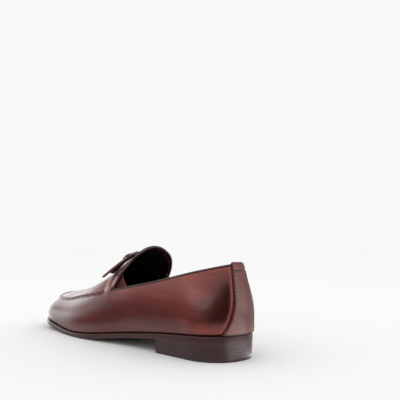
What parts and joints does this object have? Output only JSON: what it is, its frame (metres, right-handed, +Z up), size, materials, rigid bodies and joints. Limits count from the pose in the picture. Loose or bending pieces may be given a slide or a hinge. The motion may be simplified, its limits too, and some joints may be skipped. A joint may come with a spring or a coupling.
{
  "type": "bit loafer",
  "caption": "Left slip-on leather loafer with a raised apron seam, crescent tongue, elastic gores, a metal bit on a strap across the saddle and a stacked heel.",
  "frame": {"origin": "On the floor under the middle of the shoe's bounding box.", "axes": "+Z up, toe toward -Y, heel toward +Y, outer (lateral) side of the left shoe toward +X."},
  "size_m": [0.0952, 0.3236, 0.0969],
  "materials": {
    "burnished_leather": "hand-burnished, polished",
    "sole_leather": "dyed and waxed edge",
    "heel_leather": "stacked, dyed and waxed",
    "heel_rubber": "matte",
    "sock_leather": "matte black lining",
    "edge_leather": "folded binding, satin",
    "elastic": "ribbed elastic",
    "bit_metal": "polished"
  },
  "bodies": {
    "root": {"outsole": "sole_leather", "top_piece": "heel_rubber", "heel_lift_1": "heel_leather", "heel_lift_2": "heel_leather", "heel_lift_3": "heel_leather", "insole": "sock_leather", "upper": "burnished_leather", "tongue": "burnished_leather", "collar_binding": "edge_leather", "tongue_binding": "edge_leather", "gore_lateral": "elastic", "gore_medial": "elastic", "back_strap": "burnished_leather", "bit_strap": "burnished_leather", "bit_ring_lateral": "bit_metal", "bit_ring_medial": "bit_metal", "bit_bar": "bit_metal"}
  },
  "joints": []
}
